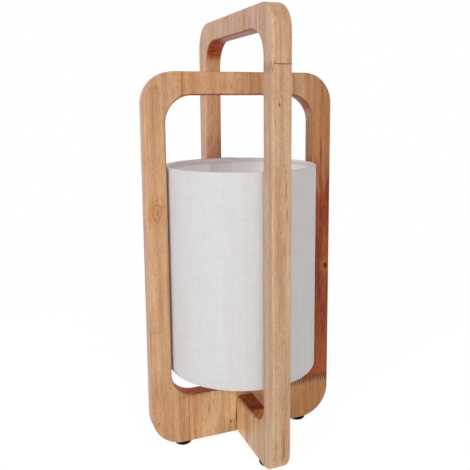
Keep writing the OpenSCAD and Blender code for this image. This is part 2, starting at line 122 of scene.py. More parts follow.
def softbox(name, place, target, size, power, colour):
    """A round lamp of some size in metres, turned to a target"""
    lamp = bpy.data.objects.new(name, bpy.data.lights.new(name, "AREA"))
    bpy.context.scene.collection.objects.link(lamp)
    lamp.data.shape = "DISK"
    lamp.data.size = size
    lamp.data.energy = power
    lamp.data.color = colour
    lamp.location = place
    lamp.rotation_euler = (Vector(target) - Vector(place)).to_track_quat("-Z", "Y").to_euler()


lamp_middle = (0, 0, 0.22)
lamp_top = (0, 0, 0.3)
softbox("key_light", (-1.90, -1.15, 0.60), lamp_middle, size=1.0, power=18,
        colour=(0.96, 0.985, 1.03))
softbox("front_light", (-0.25, -2.3, 0.35), lamp_middle, size=1.2, power=2.2,
        colour=(1.02, 1.0, 0.97))
softbox("top_light", (-0.2, -1.4, 2.0), lamp_top, size=1.1, power=17, colour=(1.0, 0.98, 0.98))
softbox("side_light", (2.0, 0.35, 0.5), lamp_middle, size=0.9, power=3.0,
        colour=(1.02, 1.0, 0.97))

white = (1.0, 1.0, 1.0, 1.0)
room_light = 0.27
room = bpy.data.worlds.new("room")
bpy.context.scene.world = room
room.use_nodes = True
room.node_tree.nodes.clear()
white_room = add(room.node_tree, "Background", ("Color", white), ("Strength", 1.0)).outputs[0]
dim_room = add(room.node_tree, "Background", ("Color", white), ("Strength", room_light)).outputs[0]
add(room.node_tree, "OutputWorld",
    ("Surface", seen_or_lit(room.node_tree, white_room, dim_room)))

floor_r = 8.0
bounce_colour, bounce_glow = (0.86, 0.86, 0.86, 1.0), 0.30
shadow_colour, shadow_glow = (0.18, 0.18, 0.18, 1.0), 0.91
shadow_fades_from, shadow_fades_to = 0.35, 1.2
bpy.ops.mesh.primitive_circle_add(vertices=96, radius=floor_r, fill_type="NGON",
                                  location=(0, 0, 0))
floor = bpy.context.object
floor.name = "floor"
floor_paint = bpy.data.materials.new("white_floor")
floor_paint.use_nodes = True
tree = floor_paint.node_tree
tree.nodes.clear()
bounce = add(tree, "BsdfDiffuse", ("Color", bounce_colour)).outputs[0]
from_below = add(tree, "Emission", ("Color", white), ("Strength", bounce_glow)).outputs[0]
lit_floor = add(tree, "AddShader", (0, bounce), (1, from_below)).outputs[0]
shadow = add(tree, "BsdfDiffuse", ("Color", shadow_colour)).outputs[0]
glow = add(tree, "Emission", ("Color", white), ("Strength", shadow_glow)).outputs[0]
near_floor = add(tree, "AddShader", (0, shadow), (1, glow)).outputs[0]
far_floor = add(tree, "Emission", ("Color", white), ("Strength", 1.0)).outputs[0]
from_lamp = add(tree, "VectorMath", (0, add(tree, "TexCoord").outputs["Object"]),
                operation="LENGTH").outputs[1]
fading = add(tree, "MapRange", (0, from_lamp), (1, shadow_fades_from), (2, shadow_fades_to),
             interpolation_type="SMOOTHSTEP").outputs[0]
bright = add(tree, "MixShader", (0, fading), (1, near_floor), (2, far_floor)).outputs[0]
add(tree, "OutputMaterial", ("Surface", seen_or_lit(tree, bright, lit_floor)))
floor.data.materials.append(floor_paint)
bpy.ops.object.select_all(action="DESELECT")


# ---- Wooden frames ----
# Each frame is sawn in one piece from a panel of upright rubberwood staves, glued edge to edge,
# so that the grain is upright in the legs and in the rails. The arrises are rounded, and the
# wood has a satin lacquer. The frames are halved into each other where their base rails cross.
def paint(red, green, blue):
    """A colour as it looks on a screen, from 0 to 255, as the linear colour of a shader"""
    return (*(((c / 255 + 0.055) / 1.055) ** 2.4 for c in (red, green, blue)), 1.0)


def grey(value):
    """A value as a colour, for a ramp that carries values"""
    return (value, value, value, 1.0)


def vector(tree, what, *values, **inputs):
    """A Vector Math node's output"""
    made = add(tree, "VectorMath", *enumerate(values), operation=what)
    for key, value in inputs.items():
        made.inputs[key].default_value = value
    return made.outputs[1 if what in ("LENGTH", "DISTANCE", "DOT_PRODUCT") else 0]


def noise(tree, place, scale, detail=2.0, rough=0.5, move=(0, 0, 0)):
    """A Noise texture's node, on a place that is stretched by a scale for each axis"""
    spot = add(tree, "Mapping", ("Vector", place), ("Location", move), ("Scale", scale))
    return add(tree, "TexNoise", ("Vector", spot.outputs[0]), ("Scale", 1.0), ("Detail", detail),
               ("Roughness", rough))


def ramp(tree, value, stops, steps=False):
    """A Color Ramp's colour output, in plain steps or blended"""
    made = add(tree, "ValToRGB", (0, value))
    made.color_ramp.interpolation = "CONSTANT" if steps else "LINEAR"
    stop = made.color_ramp.elements
    stop.remove(stop[1])
    for number, (at, colour) in enumerate(stops):
        part = stop.new(at) if number else stop[0]
        part.position = at
        part.color = colour
    return made.outputs[0]


def spread(tree, value, low, high, start=0.0, end=1.0):
    """A Map Range node's output, smooth and held at both ends"""
    return add(tree, "MapRange", (0, value), (1, low), (2, high), (3, start), (4, end),
               interpolation_type="SMOOTHSTEP").outputs[0]


def mixed(tree, share, first, second, how="MIX"):
    """A colour Mix node's output"""
    return add(tree, "Mix", (0, share), (6, first), (7, second), data_type="RGBA",
               blend_type=how).outputs[2]


def new_group(name, inputs, outputs):
    """An empty shader group with its sockets; returns the group and what its inputs put out"""
    group = bpy.data.node_groups.new(name, "ShaderNodeTree")
    for label, kind in inputs.items():
        group.interface.new_socket(name=label, in_out="INPUT", socket_type="NodeSocket" + kind)
    for label, kind in outputs.items():
        group.interface.new_socket(name=label, in_out="OUTPUT", socket_type="NodeSocket" + kind)
    return group, group.nodes.new("NodeGroupInput").outputs


def give(group, **values):
    """Links a group's results to its outputs"""
    out = group.nodes.new("NodeGroupOutput")
    for label, value in values.items():
        group.links.new(value, out.inputs[label])


def use(tree, group, **values):
    """Places a group in a tree, with its values, and returns its outputs"""
    made = add(tree, "Group", node_tree=group)
    for key, value in values.items():
        if isinstance(value, bpy.types.NodeSocket):
            tree.links.new(value, made.inputs[key])
        else:
            made.inputs[key].default_value = value
    return made.outputs


def new_material(name, **settings):
    """A material with a Principled shader and its constants; returns it, its tree and its shader"""
    made = bpy.data.materials.new(name)
    made.use_nodes = True
    made.node_tree.nodes.clear()
    shader = add(made.node_tree, "BsdfPrincipled", *settings.items())
    add(made.node_tree, "OutputMaterial", ("Surface", shader.outputs[0]))
    return made, made.node_tree, shader


def feed(tree, shader, **values):
    """Links outputs to a shader's sockets, named with _ for a space"""
    for key, value in values.items():
        tree.links.new(value, shader.inputs[key.replace("_", " ")])


def bump(tree, height, depth):
    """A Bump node's normal; depth is in millimetres"""
    return add(tree, "Bump", ("Height", height), ("Strength", 1.0),
               ("Distance", depth / 1000)).outputs[0]


def object_mm(tree):
    """The place on the piece in millimetres"""
    spot = add(tree, "TexCoord").outputs["Object"]
    return vector(tree, "SCALE", spot, Scale=1000.0)


def dress(piece, material):
    """Gives a piece one material all over"""
    piece.data.materials.clear()
    piece.data.materials.append(material)


nodes = frame["nodes"]


def stand_in(piece, node):
    """Hides a CAD node and puts a piece, which stands in its place, in that node's body"""
    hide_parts(node)
    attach(piece, nodes[node]["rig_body"])


merge_within = 1e-6
smooth_up_to = math.radians(32)


def mended(node):
    """A merged copy of a CAD node, shaded smooth up to an angle, in the node's place"""
    piece = nodes[node].copy()
    piece.data = piece.data.copy()
    piece.name = node + "_finished"
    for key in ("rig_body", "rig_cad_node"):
        del piece[key]
    piece.parent = None
    bpy.context.scene.collection.objects.link(piece)
    bpy.ops.object.select_all(action="DESELECT")
    piece.select_set(True)
    bpy.context.view_layer.objects.active = piece
    bpy.ops.object.mode_set(mode="EDIT")
    bpy.ops.mesh.select_all(action="SELECT")
    bpy.ops.mesh.remove_doubles(threshold=merge_within)
    bpy.ops.object.mode_set(mode="OBJECT")
    bpy.ops.object.shade_smooth_by_angle(angle=smooth_up_to)
    piece.select_set(False)
    stand_in(piece, node)
    return piece


# The grain wanders a little, and each stave shows its own part of the pattern, so that the glue
# lines show. A noise's scale is in repeats per mm across the board, through it and upwards.
wander_mm = 7.0
stave_shift = (371.0, 93.0, 1471.0)
fleck_dark, pore_dark, streak_dark = 0.18, 0.26, 0.15
sapwood = [(0.30, paint(220, 182, 149)), (0.50, paint(210, 169, 133)),
           (0.70, paint(191, 145, 104))]
heartwood = [(0.36, paint(184, 98, 44)), (0.50, paint(148, 63, 22)), (0.62, paint(104, 34, 8))]
end_grain = [(0.32, paint(228, 134, 86)), (0.50, paint(194, 98, 60)), (0.66, paint(148, 69, 41))]

wood, given = new_group(
    "board_wood",
    {"Place": "Vector", "Stave": "Float", "Red": "Float", "Tint": "Color", "End": "Float",
     "EndTint": "Color"},
    {"Color": "Color", "Roughness": "Float", "Height": "Float"})
wander = vector(wood, "SUBTRACT", noise(wood, given["Place"], (0.03, 0.03, 0.006)).outputs[1],
                (0.5, 0.5, 0.5))
wavy = vector(wood, "ADD", given["Place"],
              vector(wood, "MULTIPLY", wander, (wander_mm, wander_mm, 0)))
own_part = add(wood, "CombineXYZ", *((axis, calc(wood, "MULTIPLY", given["Stave"], far))
                                     for axis, far in enumerate(stave_shift))).outputs[0]
grain = vector(wood, "ADD", wavy, own_part)
bands = noise(wood, grain, (0.22, 0.22, 0.006), 3.0, 0.62).outputs[0]
fibres = noise(wood, grain, (1.0, 1.0, 0.075), 3.0, 0.65).outputs[0]
flecks = spread(wood, noise(wood, grain, (1.15, 1.15, 0.17), 1.0, move=(9, 3, 0)).outputs[0],
                0.56, 0.72)
pores = spread(wood, noise(wood, grain, (1.7, 1.7, 0.32), 0.0, move=(50, 8, 0)).outputs[0],
               0.66, 0.74)
streaks = spread(wood, noise(wood, grain, (0.75, 0.75, 0.022), 2.0, move=(23, 60, 0)).outputs[0],
                 0.60, 0.70)
mottled = noise(wood, grain, (0.42, 0.42, 0.10), 3.0, 0.7, (77, 5, 0)).outputs[0]
cloudy = noise(wood, wavy, (0.05, 0.05, 0.016), 2.0, move=(40, 0, 0)).outputs[0]

# Pale sapwood takes its stave's tint, and red heartwood has a figure of its own.
red_figure = calc(wood, "ADD", calc(wood, "MULTIPLY", bands, 0.25),
                  calc(wood, "ADD", calc(wood, "MULTIPLY", mottled, 0.35),
                       calc(wood, "MULTIPLY", cloudy, 0.40)))
pale = mixed(wood, 1.0, ramp(wood, bands, sapwood), given["Tint"], "MULTIPLY")
body_colour = mixed(wood, given["Red"], pale, ramp(wood, red_figure, heartwood))

# Darker wood is also warmer, so the three colours take the tone to different powers.
stave_tone = spread(wood, given["Stave"], 0.0, 1.0, 0.92, 1.07)
fibre_tone = spread(wood, fibres, 0.22, 0.78, 0.83, 1.13)
cloud_tone = spread(wood, cloudy, 0.3, 0.7, 0.93, 1.05)
dark_marks = calc(wood, "ADD", calc(wood, "MULTIPLY", flecks, fleck_dark),
                  calc(wood, "MULTIPLY", pores, pore_dark))
dark_marks = calc(wood, "ADD", dark_marks, calc(wood, "MULTIPLY", streaks, streak_dark))
tone = calc(wood, "MULTIPLY", calc(wood, "MULTIPLY", stave_tone, fibre_tone),
            calc(wood, "MULTIPLY", cloud_tone, calc(wood, "SUBTRACT", 1.0, dark_marks)))
warm = add(wood, "CombineColor", (0, calc(wood, "POWER", tone, 0.8)), (1, tone),
           (2, calc(wood, "POWER", tone, 1.25))).outputs[0]
toned = mixed(wood, 1.0, body_colour, warm, "MULTIPLY")

# End grain drinks the lacquer: it is darker and redder, with specks instead of fibres.
specks = noise(wood, given["Place"], (0.5, 0.16, 0.5), 3.0, 0.6).outputs[0]
end_colour = mixed(wood, 1.0, toned, ramp(wood, specks, end_grain), "MULTIPLY")
end_colour = mixed(wood, 1.0, end_colour, given["EndTint"], "MULTIPLY")
rough = calc(wood, "ADD", calc(wood, "MULTIPLY", fibres, 0.16), 0.36)
rough = calc(wood, "ADD", rough, calc(wood, "MULTIPLY", flecks, 0.15))
height = calc(wood, "SUBTRACT", calc(wood, "MULTIPLY", fibres, 0.4), flecks)
give(wood, Color=mixed(wood, given["End"], toned, end_colour), Roughness=rough, Height=height)

# Where a stave is joined end to end, fingers are cut into both ends: a zigzag across the board,
# with a dark glue line.
finger_pitch = 2.5
finger_length = 8.2
fingers, given = new_group(
    "finger_joint", {"Across": "Float", "Along": "Float", "Width": "Float"},
    {"Above": "Float", "Line": "Float"})
tooth = calc(fingers, "PINGPONG", given["Across"], finger_pitch / 2)
tooth = calc(fingers, "MULTIPLY", tooth, finger_length / (finger_pitch / 2))
beyond = calc(fingers, "SUBTRACT", given["Along"], tooth)
from_line = calc(fingers, "DIVIDE", calc(fingers, "ABSOLUTE", beyond), given["Width"])
give(fingers, Above=calc(fingers, "GREATER_THAN", beyond, 0.0),
     Line=spread(fingers, from_line, 0.3, 1.0, 1.0, 0.0))

# A knot has a dark eye and a ringed halo, and the grain bends round it.
knot, given = new_group(
    "knot", {"Place": "Vector", "Middle": "Vector", "Size": "Float", "Shortening": "Float",
             "Eye": "Float"},
    {"Place": "Vector", "Dark": "Float"})
off = vector(knot, "SUBTRACT", given["Place"], given["Middle"])
shortened = add(knot, "CombineXYZ", (0, 1.0), (1, 1.0), (2, given["Shortening"])).outputs[0]
from_eye = calc(knot, "DIVIDE",
                vector(knot, "LENGTH", vector(knot, "MULTIPLY", off, shortened)), given["Size"])
push = spread(knot, from_eye, 0.0, 5.0, 0.8, 0.0)
pushed = vector(knot, "MULTIPLY", vector(knot, "MULTIPLY", off, (1, 1, 0)),
                add(knot, "CombineXYZ", (0, push), (1, push), (2, push)).outputs[0])
uneven = noise(knot, given["Place"], (0.16, 0.16, 0.16), 2.0).outputs[0]
rings = calc(knot, "SINE", calc(knot, "ADD", calc(knot, "MULTIPLY", from_eye, 7.0),
                                calc(knot, "MULTIPLY", uneven, 14.0)))
eye = calc(knot, "MULTIPLY", spread(knot, from_eye, 0.4, 1.3, 1.0, 0.0), given["Eye"])
halo = calc(knot, "MULTIPLY", spread(knot, from_eye, 0.5, 3.4, 0.55, 0.0),
            spread(knot, rings, -1, 1, 0.45, 1.0))
give(knot, Place=vector(knot, "SUBTRACT", given["Place"], pushed),
     Dark=calc(knot, "MAXIMUM", eye, halo))

# Half of a frame's width, and the heights over which one tint gives way to the next
frame_half = 104.0
foot_fades = (55.0, 95.0)
top_fades_over = 45.0
high_up = (200.0, 260.0)
high_end_tint = (2.0, 4.0, 2.5, 1.0)
# How strongly and how raggedly the base rail's end grain runs over its arris, partly a painted
# shadow of the shade
stain_and_shade_share, stain_and_shade_ragged = 0.45, 22.0
knot_colours = [(0.0, paint(196, 124, 58)), (0.35, paint(172, 98, 40)), (0.6, paint(112, 50, 16)),
                (0.95, paint(20, 8, 5))]
glue_line = paint(74, 32, 12)
# Painted shade for what faces down under the top rails
painted_underside_shade = paint(192, 140, 98)


def on_ramp(at):
    """A place across a board, in mm from its middle, as a place on a ramp"""
    return (at + frame_half) / (2 * frame_half)


def tint_ramp(tree, share, stops, steps=False):
    """Tints across a board, from places in mm"""
    return ramp(tree, share, [(on_ramp(at), (*tint, 1)) for at, tint in stops], steps)


def board_material(name, along_y, staves, base_tone_and_light, top, left, ends, knots, joints, face_line,
                   base_top, opening_top, red_part):
    """The wood of one frame, which runs along Y or along X. Staves: where each starts, its tone
    and its tint. The base rail's, the top rail's and the ends' tints: how tints go across the base
    rail, the top rail and the base rail's end grain; the base rail's tints are partly painted
    light and shade near the crossing. Left: a painted tint of cooler light on what faces left.
    Knots: middle, size, shortening along the grain, its eye's darkness and its own. Joints:
    height, sides and change of stave. Face_line: how strongly a joint shows on the board's face.
    Base_top and opening_top: the opening's lower and upper end. Red_part: gives the share of
    heartwood."""
    material, tree, shader = new_material(name, IOR=1.45)
    shader.inputs["Specular IOR Level"].default_value = 0.3
    shader.inputs["Coat Weight"].default_value = 0.08
    shader.inputs["Coat Roughness"].default_value = 0.30
    spot = add(tree, "SeparateXYZ", (0, object_mm(tree))).outputs
    across, depth = (spot[1], spot[0]) if along_y else (spot[0], spot[1])
    place = add(tree, "CombineXYZ", (0, across), (1, depth), (2, spot[2])).outputs[0]
    share = calc(tree, "DIVIDE", calc(tree, "ADD", across, frame_half), 2 * frame_half)
    normal = add(tree, "SeparateXYZ", (0, add(tree, "TexCoord").outputs["Normal"])).outputs
    on_face = calc(tree, "ABSOLUTE", normal[0 if along_y else 1])

    # The tints: the stave's own, then the base rail's, partly painted light and shade near the
    # crossing, the top rail's, and a painted cooler light on what faces left
    tint = tint_ramp(tree, share, [(at, tint) for at, tone, tint in staves], True)
    tint = mixed(tree, spread(tree, spot[2], *foot_fades, 1.0, 0.0), tint,
                 tint_ramp(tree, share, base_tone_and_light), "MULTIPLY")
    tint = mixed(tree, spread(tree, spot[2], opening_top - top_fades_over, opening_top), tint,
                 tint_ramp(tree, share, top), "MULTIPLY")
    tint = mixed(tree, spread(tree, normal[0], -0.65, -0.15, 1.0, 0.0), tint, (*left, 1),
                 "MULTIPLY")

    # The knots bend the grain one after another
    dark = 0.0
    for middle, size, shortening, eye_dark, strength in knots:
        bent = use(tree, knot, Place=place, Middle=middle, Size=size, Shortening=shortening,
                   Eye=eye_dark)
        place = bent["Place"]
        dark = calc(tree, "MAXIMUM", dark, calc(tree, "MULTIPLY", bent["Dark"], strength))

    # Above a finger joint its stave is another one. On the board's edge the glue line is thinner
    stave = ramp(tree, share, [(on_ramp(at), grey(tone)) for at, tone, tint in staves], True)
    line = 0.0
    for at_z, from_side, to_side, change in joints:
        joint = use(tree, fingers, Across=across, Along=calc(tree, "SUBTRACT", spot[2], at_z),
                    Width=spread(tree, on_face, 0.2, 0.8, 0.7, 3.2))
        inside = calc(tree, "MULTIPLY", calc(tree, "GREATER_THAN", across, from_side),
                      calc(tree, "LESS_THAN", across, to_side))
        line = calc(tree, "MAXIMUM", line, calc(tree, "MULTIPLY", joint["Line"], inside))
        moved = calc(tree, "MULTIPLY", calc(tree, "MULTIPLY", joint["Above"], inside), change)
        stave = calc(tree, "ADD", stave, moved)
    stave = calc(tree, "FRACT", stave)
    line = calc(tree, "MULTIPLY", line, spread(tree, on_face, 0.2, 0.8, 0.8, face_line))

    # End grain shows where a surface faces along the legs: fully inside the opening, faintly on
    # the board's outer ends, and as a ragged stain over the base rail's arris between the legs.
    # This is partly painted: painted shade inside the opening, painted light from above on the
    # outer ends, and a painted shadow of the shade in the stain
    inward = calc(tree, "MULTIPLY", normal[2], spread(tree, spot[2], *high_up, 1.0, -1.0))
    end = calc(tree, "MAXIMUM", spread(tree, inward, 0.22, 0.60),
               spread(tree, inward, -0.99, -0.86, 0.3, 0.0))
    end = calc(tree, "MULTIPLY", end, spread(tree, on_face, 0.05, 0.75, 1.0, 0.0))
    ragged = noise(tree, place, (0.35, 0.35, 0.03), 3.0, 0.65).outputs[0]
    # A ragged band over the base rail's arris: partly end grain, partly a painted shadow of the
    # shade
    end_stain_and_shade = spread(tree,
                   calc(tree, "ADD", spot[2], calc(tree, "MULTIPLY", ragged, stain_and_shade_ragged)),
                   base_top + 7, base_top + 13)
    end_stain_and_shade = calc(tree, "MULTIPLY", end_stain_and_shade,
                 spread(tree, spot[2], base_top + 1, base_top + 5, stain_and_shade_share, 0))
    between_legs = spread(tree, calc(tree, "ABSOLUTE", across), 66.0, 78.0, 1.0, 0.0)
    end = calc(tree, "MAXIMUM", end, calc(tree, "MULTIPLY", end_stain_and_shade, between_legs))
    end_tint = mixed(tree, spread(tree, spot[2], *high_up), tint_ramp(tree, share, ends),
                     high_end_tint)

    board = use(tree, wood, Place=place, Stave=stave, Red=red_part(tree, across, spot[2]),
                Tint=tint, End=end, EndTint=end_tint)
    knotted = mixed(tree, calc(tree, "MINIMUM", calc(tree, "MULTIPLY", dark, 1.5), 1.0),
                    board["Color"], ramp(tree, dark, knot_colours))
    lined = mixed(tree, line, knotted, glue_line)
    # Painted shade: what faces down under the top rails is darkened
    painted_shade_under_rail = calc(tree, "MULTIPLY", spread(tree, normal[2], -0.75, -0.25, 1.0, 0.0),
                      spread(tree, spot[2], 250, 300))
    shaded = mixed(tree, painted_shade_under_rail, lined, painted_underside_shade, "MULTIPLY")
    feed(tree, shader, Base_Color=shaded, Roughness=board["Roughness"],
         Normal=bump(tree, board["Height"], 0.05))
    return material


low_joint_z = 45.4
red_above_joint = 0.5


def low_red(tree, across, along):
    """Red heartwood in the right leg, from the finger joint up, with flames where it ends"""
    flat = add(tree, "CombineXYZ", (0, across), (1, 0.0), (2, along)).outputs[0]
    ragged = noise(tree, flat, (0.30, 1, 0.014), 3.0, 0.6).outputs[0]
    side = calc(tree, "ADD", across, calc(tree, "MULTIPLY", ragged, 10.0))
    high = calc(tree, "SUBTRACT", along, calc(tree, "MULTIPLY", ragged, 150.0))
    from_joint = calc(tree, "SUBTRACT", along, low_joint_z + red_above_joint)
    above = use(tree, fingers, Across=across, Along=from_joint, Width=1.0)["Above"]
    deeper = add(tree, "CombineXYZ", (0, across), (1, 40.0), (2, along)).outputs[0]
    flames = spread(tree, noise(tree, deeper, (0.55, 1, 0.016), 2.0, 0.6).outputs[0], 0.50, 0.64)
    flames = calc(tree, "MULTIPLY", flames, spread(tree, along, 270.0, 330.0, 0.75, 0.0))
    fading = spread(tree, high, 190.0, 226.0, 1.0, 0.32)
    fading = calc(tree, "MAXIMUM", fading, calc(tree, "ADD", flames, 0.2))
    in_leg = calc(tree, "MULTIPLY", spread(tree, side, 74.0, 79.0), above)
    return calc(tree, "MULTIPLY", in_leg, fading)


low_material = board_material(
    "low_wood", along_y=False,
    staves=[
        (-104, 0.42, (1.00, 0.95, 0.85)), (-83, 0.58, (0.98, 0.91, 0.79)),
        (-66.5, 0.13, (0.88, 0.67, 0.46)), (-64, 0.36, (1.06, 0.92, 0.74)),
        (-50, 0.66, (1.12, 1.04, 0.92)), (-27, 0.48, (1.14, 1.06, 0.92)),
        (-17, 0.40, (1.22, 1.16, 1.04)), (-10.9, 0.83, (1.04, 0.90, 0.76)),
        (8, 0.27, (0.97, 0.80, 0.66)), (16.7, 0.55, (0.88, 0.62, 0.46)),
        (20, 0.55, (0.98, 0.86, 0.74)), (35, 0.70, (0.93, 0.78, 0.64)),
        (54, 0.38, (0.88, 0.74, 0.56)), (71.9, 0.60, (0.84, 0.66, 0.47)),
        (88, 0.44, (0.80, 0.62, 0.44))],
    # The wood's own tone, and in part painted light and shade near the crossing
    base_tone_and_light=[
        (-104, (0.90, 0.84, 0.80)), (-84, (0.92, 0.86, 0.82)), (-68, (1.02, 1.02, 1.03)),
        (-30, (0.92, 1.00, 1.03)), (-18, (0.92, 1.01, 1.02)), (-11, (1.26, 1.34, 1.34)),
        (20, (0.87, 0.82, 0.88)), (66, (0.88, 0.80, 0.66)), (104, (0.93, 0.96, 0.92))],
    top=[
        (-104, (0.98, 0.96, 0.98)), (-76, (0.95, 0.94, 0.97)), (-58, (0.90, 0.85, 0.85)),
        (-20, (0.82, 0.77, 0.76)), (-8, (1.0, 1.0, 1.0)), (48, (1.0, 1.0, 1.0)),
        (60, (0.86, 0.86, 0.94)), (72, (0.98, 1.16, 1.34)), (104, (0.98, 1.12, 1.22))],
    # Painted cooler light on what faces left
    left=(0.97, 0.98, 1.06),
    ends=[
        (-104, (1.50, 1.45, 0.70)), (-62, (1.42, 1.80, 1.1)), (-56, (1.35, 1.9, 1.3)),
        (-50, (0.95, 1.1, 1.0)), (104, (1.0, 1.0, 1.0))],
    knots=[
        ((98.8, -9.75, 181.9), 2.5, 0.7, 1.0, 1.0), ((-92.6, -9.75, 256.5), 4.6, 0.62, 0.1, 0.72),
        ((-20.5, -9.75, 381), 1.6, 0.7, 0.5, 0.6), ((-12.9, -9.75, 380), 1.3, 0.7, 0.4, 0.6),
        ((-16.8, -9.75, 17.5), 0.8, 0.6, 1.0, 0.75), ((-97.6, -9.75, 31), 0.8, 0.7, 1.0, 0.75),
        ((-10.5, -9.75, 23), 0.6, 0.07, 1.0, 0.9), ((-42, -9.75, 37), 0.5, 0.12, 1.0, 0.6),
        ((-37, -9.75, 44), 0.5, 0.12, 1.0, 0.5), ((92, -9.75, 311), 1.2, 0.06, 1.0, 0.6)],
    joints=[(low_joint_z, 50.0, 105.0, 0.31)],
    face_line=1.0, base_top=56, opening_top=372, red_part=low_red)


def tall_red(tree, across, along):
    """Reddish streaks high on the far leg's inner side, and in the corner above it"""
    coordinates = add(tree, "TexCoord").outputs
    normal = add(tree, "SeparateXYZ", (0, coordinates["Normal"])).outputs
    inner = spread(tree, calc(tree, "ABSOLUTE", normal[0]), 0.3, 0.8, 1.0, 0.0)
    flames = noise(tree, coordinates["Object"], (700, 160, 60), 3.0, 0.6).outputs[0]
    patch = calc(tree, "MULTIPLY", spread(tree, along, 290.0, 306.0),
                 spread(tree, along, 316.0, 332.0, 0.32, 0.0))
    corner = calc(tree, "MULTIPLY", spread(tree, along, 408.0, 424.0, 0.0, 0.15),
                  spread(tree, across, 48.0, 62.0))
    both = calc(tree, "MULTIPLY", calc(tree, "MAXIMUM", patch, corner),
                spread(tree, flames, 0.36, 0.56))
    low_enough = calc(tree, "LESS_THAN", along, 434.0)
    side = calc(tree, "MULTIPLY", inner, spread(tree, across, 50.0, 60.0))
    return calc(tree, "MULTIPLY", calc(tree, "MULTIPLY", both, low_enough), side)


tall_material = board_material(
    "tall_wood", along_y=True,
    staves=[
        (-104, 0.52, (0.93, 0.92, 0.92)), (-84, 0.35, (0.98, 0.97, 0.96)),
        (-66, 0.66, (0.98, 0.94, 0.92)), (-47, 0.56, (0.96, 0.92, 0.90)),
        (-41, 0.16, (0.88, 0.74, 0.60)), (-36, 0.86, (1.00, 0.92, 0.82)),
        (-14, 0.58, (0.96, 0.93, 0.91)), (14, 0.77, (0.97, 0.93, 0.90)),
        (33, 0.44, (0.96, 0.91, 0.86)), (52, 0.63, (0.98, 0.94, 0.90)),
        # The stave from 80 mm is partly painted light, lifting the far leg's inner face from shade
        (71, 0.50, (1.00, 0.95, 0.91)), (80, 0.57, (1.12, 0.99, 0.88)),
        (86, 0.50, (0.89, 0.86, 0.88))],
    # The wood's own tone, and in part painted light and shade near the crossing
    base_tone_and_light=[
        (-104, (1.02, 1.09, 1.07)), (-101, (1.01, 1.01, 0.94)), (-80, (0.91, 0.90, 0.83)),
        (-45, (0.96, 0.96, 0.84)), (-34, (1.08, 1.03, 0.84)), (-20, (1.05, 1.17, 1.03)),
        (0, (1.08, 1.18, 1.08)), (104, (1, 1, 1))],
    top=[
        (-104, (0.97, 0.95, 0.95)), (-50, (0.92, 0.88, 0.91)), (0, (0.94, 0.94, 1.0)),
        (65, (1.02, 1.02, 1.04)), (104, (0.96, 0.96, 0.96))],
    # Painted cooler light on what faces left
    left=(1.02, 1.06, 1.16),
    ends=[
        (-104, (2.0, 4.6, 5.4)), (-46.7, (2.0, 4.6, 5.6)), (-46.5, (0.86, 0.88, 2.0)),
        (-34, (1.12, 1.60, 4.9)), (-22, (1.40, 2.1, 4.9)), (-14, (2.25, 3.6, 3.4)),
        (104, (2.1, 3.1, 2.8))],
    knots=[
        ((-104, -3.3, 362), 0.9, 0.6, 1.0, 0.7), ((-104, 3.4, 285), 0.7, 0.08, 1.0, 0.40),
        ((-104, 4.5, 262), 0.7, 0.08, 1.0, 0.40), ((-104, 1.6, 230), 0.7, 0.08, 1.0, 0.35),
        ((-104, 2.0, 32), 1.5, 0.05, 1.0, 0.45)],
    joints=[(391.0, -105.0, -84.0, 0.37), (168.0, 84.0, 105.0, 0.29)],
    face_line=0.6, base_top=45.5, opening_top=432, red_part=tall_red)

dress(mended("low_frame"), low_material)
dress(mended("tall_frame"), tall_material)


# ---- Feet ----
# Four black rubber buttons under the base rails, each with a domed side and a pocket for its
# screw. The rubber is moulded, with a fine matt skin and some dust; the screws are zinc plated.
skin, given = new_group(
    "moulded_skin", {"Place": "Vector", "Grain": "Float"}, {"Mottle": "Float", "Height": "Float"})
fine = add(skin, "TexNoise", ("Vector", given["Place"]), ("Scale", given["Grain"]),
           ("Detail", 3.0)).outputs[0]
broad = noise(skin, given["Place"], (0.09, 0.09, 0.09), 2.0).outputs[0]
give(skin, Mottle=broad, Height=calc(skin, "ADD", fine, calc(skin, "MULTIPLY", broad, 0.4)))


def moulded(name, dark, light, rough, grain, depth, **settings):
    """Plastic, rubber or paint: two near colours in soft clouds, and a fine skin. Rough: the
    least and the most roughness. Grain and depth: how fine and how deep the skin is, in mm"""
    material, tree, shader = new_material(name, **settings)
    found = use(tree, skin, Place=object_mm(tree), Grain=grain)
    feed(tree, shader, Base_Color=ramp(tree, found["Mottle"], [(0.35, dark), (0.70, light)]),
         Roughness=spread(tree, found["Mottle"], 0.3, 0.7, rough[0], rough[1]),
         Normal=bump(tree, found["Height"], depth))
    return material


rubber = moulded("foot_rubber", paint(8, 8, 8), paint(14, 13, 13), rough=(0.65, 0.80),
                 grain=2.5, depth=0.04, **{"Specular IOR Level": 0.10})
dress(mended("feet"), rubber)

plated, given = new_group(
    "metal_marks", {"Place": "Vector", "Rings": "Float"}, {"Tone": "Float", "Height": "Float"})
spot = add(plated, "SeparateXYZ", (0, given["Place"])).outputs
marks_across = 0.2
ring_place = add(plated, "CombineXYZ", (2, calc(plated, "MULTIPLY", spot[2], given["Rings"])),
                 (0, calc(plated, "MULTIPLY", spot[0], marks_across)),
                 (1, calc(plated, "MULTIPLY", spot[1], marks_across))).outputs[0]
turning_marks = add(plated, "TexNoise", ("Vector", ring_place), ("Scale", 1.0),
                    ("Detail", 2.0)).outputs[0]
stains = noise(plated, given["Place"], (0.25, 0.25, 0.25), 3.0).outputs[0]
give(plated, Tone=stains, Height=turning_marks)


